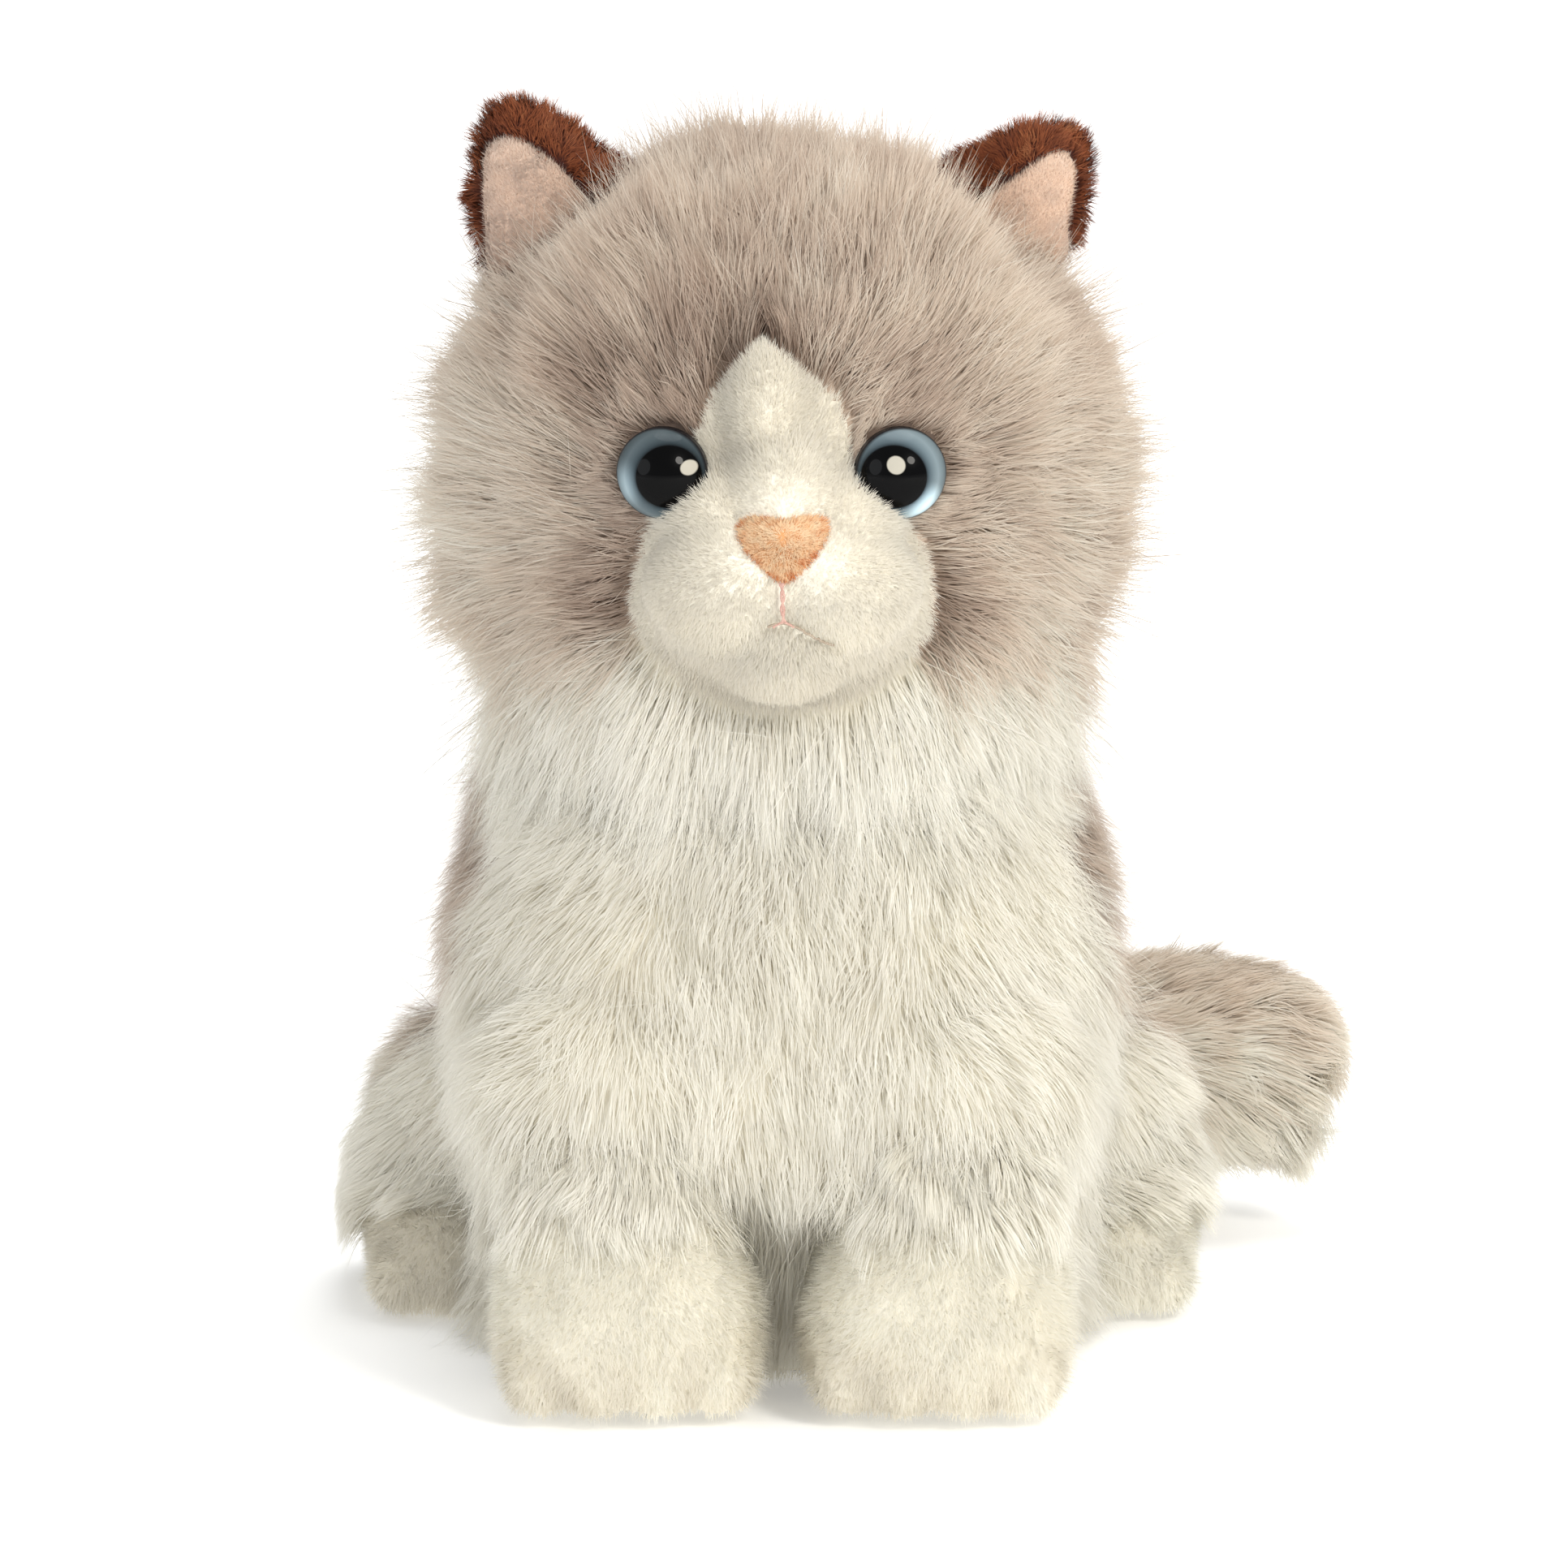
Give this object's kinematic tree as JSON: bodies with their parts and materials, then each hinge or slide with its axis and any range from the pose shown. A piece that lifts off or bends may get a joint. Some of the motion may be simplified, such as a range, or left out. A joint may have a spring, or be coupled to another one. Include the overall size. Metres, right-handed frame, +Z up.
{
  "type": "interactive plush pet",
  "caption": "Seated long-haired plush kitten with a motor-driven turning head and wagging tail, a head pat sensor, a purr motor and a battery bay in its base.",
  "frame": {"origin": "on the flat underside of the base plate, straight below the neck axis, in the plane the toy stands on", "axes": "+Z up, the kitten faces -Y, +X is the side the tail curls round"},
  "size_m": [0.2, 0.2051, 0.2518],
  "materials": {
    "fur_taupe": "long pile",
    "fur_cream": "long pile",
    "pile_white": "short pile",
    "ear_brown": "short pile",
    "ear_pink": "velour",
    "nose_peach": "brushed velour",
    "clear_plastic": "clear gloss",
    "iris_blue": "gloss print",
    "white_plastic": "satin moulding",
    "grey_plastic": "fine texture moulding",
    "black_plastic": "satin moulding",
    "gear_nylon": "satin",
    "steel": "satin",
    "brass": "satin",
    "board_green": "solder mask",
    "cell_wrap": "shrink wrap",
    "wire_red": "sleeve",
    "speaker_black": "pressed paper and frame"
  },
  "bodies": {
    "torso": {"base_plate": "grey_plastic", "battery_box": "black_plastic", "battery_cell_1": "cell_wrap", "battery_cell_2": "cell_wrap", "battery_cell_3": "cell_wrap", "body_plush": "fur_cream", "casing_front": "white_plastic", "casing_rear": "white_plastic", "casing_screw_1": "steel", "casing_screw_2": "steel", "casing_screw_3": "steel", "casing_screw_4": "steel", "contact_plate_left": "brass", "contact_plate_right": "brass", "front_leg_left": "pile_white", "front_leg_right": "pile_white", "head_bracket": "grey_plastic", "head_motor": "steel", "hind_leg_left": "fur_cream", "hind_leg_right": "fur_cream", "main_board": "board_green", "neck_bushing": "gear_nylon", "power_switch_body": "black_plastic", "purr_motor": "steel", "speaker": "speaker_black", "tail_bracket": "grey_plastic", "tail_motor": "steel", "wire_battery": "wire_red", "wire_motor": "wire_red"},
    "head": {"head_plush": "fur_taupe", "muzzle_plush": "pile_white", "nose": "nose_peach", "ear_back_left": "ear_brown", "ear_back_right": "ear_brown", "ear_lining_left": "ear_pink", "ear_lining_right": "ear_pink", "eye_lens_left": "clear_plastic", "eye_lens_right": "clear_plastic", "eye_iris_left": "iris_blue", "eye_iris_right": "iris_blue", "eye_washer_left": "steel", "eye_washer_right": "steel", "head_casing_front": "white_plastic", "head_casing_rear": "white_plastic", "pat_spring": "steel", "pat_switch": "board_green", "neck_shaft": "white_plastic", "head_gear": "gear_nylon", "wire_pat": "wire_red"},
    "pat_button": {"pat_button": "white_plastic"},
    "tail": {"tail_plush": "fur_taupe", "tail_arm": "steel", "tail_gear": "gear_nylon"},
    "head_pinion": {"head_pinion": "brass"},
    "tail_pinion": {"tail_pinion": "brass"},
    "battery_door": {"battery_door": "grey_plastic", "door_screw": "steel"},
    "switch_knob": {"power_switch_knob": "black_plastic"},
    "purr_weight": {"purr_weight": "brass"}
  },
  "joints": [
    {"name": "head_turn", "type": "hinge", "parent": "torso", "child": "head", "pos_m": [0, 0, 0.127], "axis": [0, 0, 1], "range_deg": [-32, 32]},
    {"name": "tail_wag", "type": "hinge", "parent": "torso", "child": "tail", "pos_m": [0.02, 0.056, 0.037], "axis": [0, 0, 1], "range_deg": [0, 40]},
    {"name": "head_pinion_spin", "type": "hinge", "parent": "torso", "child": "head_pinion", "pos_m": [0, 0.02412, 0.095], "axis": [0, 0, 1], "range_deg": [-100, 100]},
    {"name": "tail_pinion_spin", "type": "hinge", "parent": "torso", "child": "tail_pinion", "pos_m": [0.00288, 0.056, 0.0485], "axis": [0, 0, 1], "range_deg": [-100, 4]},
    {"name": "door_swing", "type": "hinge", "parent": "torso", "child": "battery_door", "pos_m": [0, 0.0064, 0.0016], "axis": [-1, 0, 0], "range_deg": [0, 95]},
    {"name": "switch_slide", "type": "slide", "parent": "torso", "child": "switch_knob", "axis": [1, 0, 0], "range_m": [0, 0.0036]},
    {"name": "pat_press", "type": "slide", "parent": "head", "child": "pat_button", "axis": [0, 0, -1], "range_m": [0, 0.002], "stiffness_N_per_m": 400, "deforming": ["pat_spring"]},
    {"name": "purr_spin", "type": "hinge", "parent": "torso", "child": "purr_weight", "pos_m": [-0.034, 0.034, 0.036], "axis": [1, 0, 0], "continuous": true}
  ],
  "couplings": [
    {"joint": "head_pinion_spin", "follows": "head_turn", "ratio": -3},
    {"joint": "tail_pinion_spin", "follows": "tail_wag", "ratio": -2.4}
  ]
}
